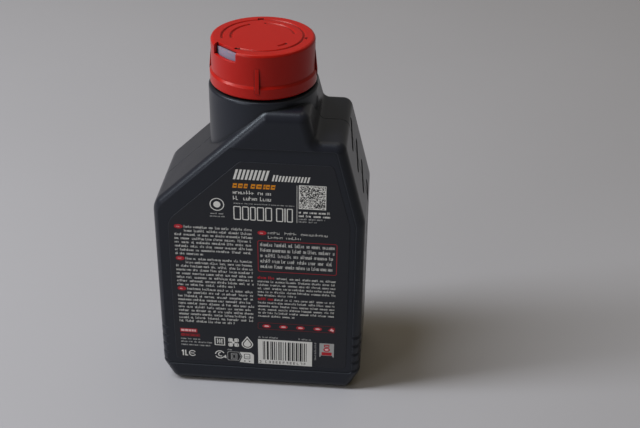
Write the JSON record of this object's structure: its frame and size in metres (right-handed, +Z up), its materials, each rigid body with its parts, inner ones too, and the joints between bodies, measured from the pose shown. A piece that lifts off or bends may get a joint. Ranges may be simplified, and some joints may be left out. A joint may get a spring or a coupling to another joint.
{
  "type": "motor oil bottle",
  "caption": "Flat one-litre motor oil bottle with an off-centre round tower, a red screw cap over a pale inner closure, a sealing disc and a printed back film.",
  "frame": {"origin": "centre of the tower and neck axis, on the plane that the bottle stands on", "axes": "+Z up along the neck axis, -Y out of the pictured broad face, +X towards the high ledge side"},
  "size_m": [0.114, 0.063, 0.2041],
  "materials": {
    "dark_plastic": "satin blow-moulded polyethylene, charcoal",
    "printed_film": "matt dark film with light print",
    "liner_foam": "soft white foamed sealing disc",
    "pale_plastic": "pale natural polypropylene",
    "red_plastic": "semi-gloss red polypropylene"
  },
  "bodies": {
    "bottle_body": {"bottle": "dark_plastic", "back_label": "printed_film"},
    "sealing_disc": {"cap_liner": "liner_foam"},
    "screw_cap": {"inner_closure": "pale_plastic", "cap": "red_plastic"}
  },
  "joints": [
    {"name": "cap_lift", "type": "slide", "parent": "bottle_body", "child": "sealing_disc", "axis": [0, 0, 1], "range_m": [0, 0.009]},
    {"name": "cap_turn", "type": "hinge", "parent": "sealing_disc", "child": "screw_cap", "pos_m": [0, 0, 0.19], "axis": [0, 0, 1], "range_deg": [0, 540]}
  ],
  "couplings": [
    {"joint": "cap_lift", "follows": "cap_turn", "m_per_rad": 0.0009549}
  ]
}
